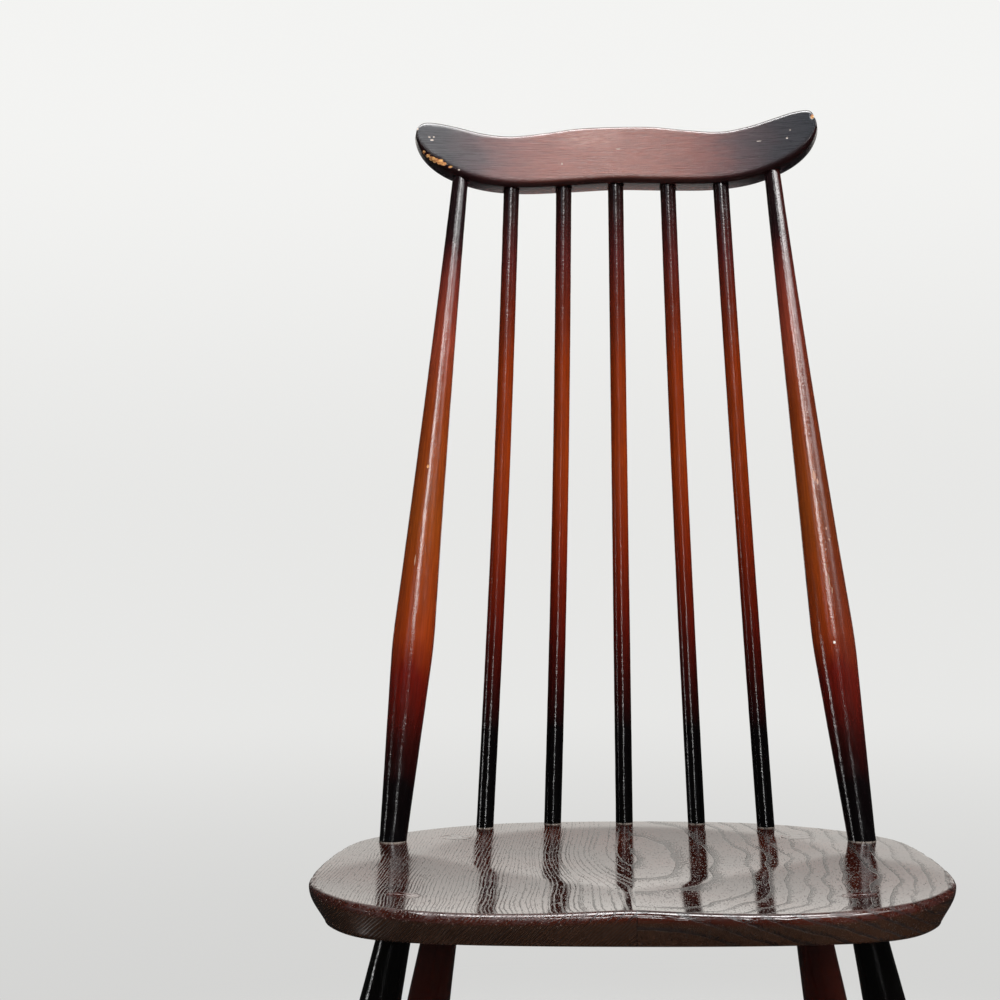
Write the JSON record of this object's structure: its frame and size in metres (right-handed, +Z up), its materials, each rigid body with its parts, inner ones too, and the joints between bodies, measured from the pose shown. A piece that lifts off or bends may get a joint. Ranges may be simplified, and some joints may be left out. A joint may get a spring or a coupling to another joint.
{
  "type": "spindle-back dining chair",
  "caption": "Spindle-back dining chair with a dished solid seat, tapered back posts, a bowed crest rail and splayed turned legs, in dark stain with worn, chipped lacquer.",
  "frame": {"origin": "on the floor, under the middle of the chair's overall width and depth", "axes": "+Z up, -Y towards the front edge of the seat, +X to the right as the chair is seen from the front"},
  "size_m": [0.4937, 0.5018, 1.0026],
  "materials": {
    "seat_wood": "dark purple-brown stained open-grained hardwood under worn satin lacquer",
    "crest_wood": "red-brown stained beech shaded nearly black at the ends, lacquered and chipped",
    "turned_wood": "red-brown stained beech shaded nearly black at the ends, glossy lacquer",
    "wedge_wood": "stained hardwood end grain"
  },
  "bodies": {
    "root": {"seat_left_board": "seat_wood", "seat_right_board": "seat_wood", "crest_rail": "crest_wood", "left_back_post": "turned_wood", "right_back_post": "turned_wood", "spindle_1": "turned_wood", "spindle_2": "turned_wood", "spindle_3": "turned_wood", "spindle_4": "turned_wood", "spindle_5": "turned_wood", "front_left_leg": "turned_wood", "front_right_leg": "turned_wood", "rear_left_leg": "turned_wood", "rear_right_leg": "turned_wood", "left_side_stretcher": "turned_wood", "right_side_stretcher": "turned_wood", "cross_stretcher": "turned_wood", "front_left_wedge": "wedge_wood", "front_right_wedge": "wedge_wood", "rear_left_wedge": "wedge_wood", "rear_right_wedge": "wedge_wood", "left_post_wedge": "wedge_wood", "right_post_wedge": "wedge_wood"}
  },
  "joints": []
}
